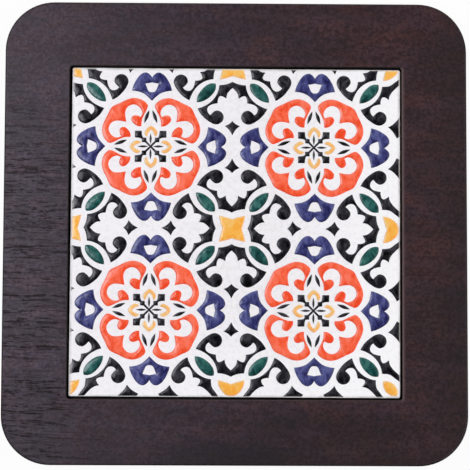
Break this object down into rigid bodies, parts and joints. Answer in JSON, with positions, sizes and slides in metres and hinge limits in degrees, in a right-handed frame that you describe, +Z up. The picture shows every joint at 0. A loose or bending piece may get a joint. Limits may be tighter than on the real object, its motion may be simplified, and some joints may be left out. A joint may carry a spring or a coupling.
{
  "type": "trivet",
  "caption": "Square hot-dish trivet: dark stained wooden board with rounded corners round a ceramic tile with a traditional floral pattern in raised coloured glazes, on low rubber feet.",
  "frame": {"origin": "on the table under the middle of the board", "axes": "+Z up, away from the table; +Y towards the back edge, the upper edge of the picture; +X to the right"},
  "size_m": [0.2116, 0.2116, 0.018],
  "materials": {
    "stained_wood": "dark wenge or walnut stain, open pores, satin oil or thin varnish",
    "tile_clay": "unglazed fired clay",
    "white_glaze": "glossy white glaze",
    "orange_glaze": "glossy raised glaze, brushed, orange red",
    "navy_glaze": "glossy raised glaze, brushed, navy",
    "green_glaze": "glossy raised glaze, brushed, dark sea green",
    "yellow_glaze": "glossy raised glaze, brushed, warm yellow",
    "black_glaze": "glossy raised glaze, brushed, soft black",
    "adhesive": "cured silicone adhesive, off-white",
    "foot_rubber": "matte dark rubber"
  },
  "bodies": {
    "root": {"top_board": "stained_wood", "base_board": "stained_wood", "tile_body": "tile_clay", "white_glaze": "white_glaze", "orange_glaze": "orange_glaze", "navy_glaze": "navy_glaze", "green_glaze": "green_glaze", "yellow_glaze": "yellow_glaze", "black_glaze": "black_glaze", "adhesive_dab_1": "adhesive", "adhesive_dab_2": "adhesive", "adhesive_dab_3": "adhesive", "adhesive_dab_4": "adhesive", "adhesive_dab_5": "adhesive", "foot_1": "foot_rubber", "foot_2": "foot_rubber", "foot_3": "foot_rubber", "foot_4": "foot_rubber"}
  },
  "joints": []
}
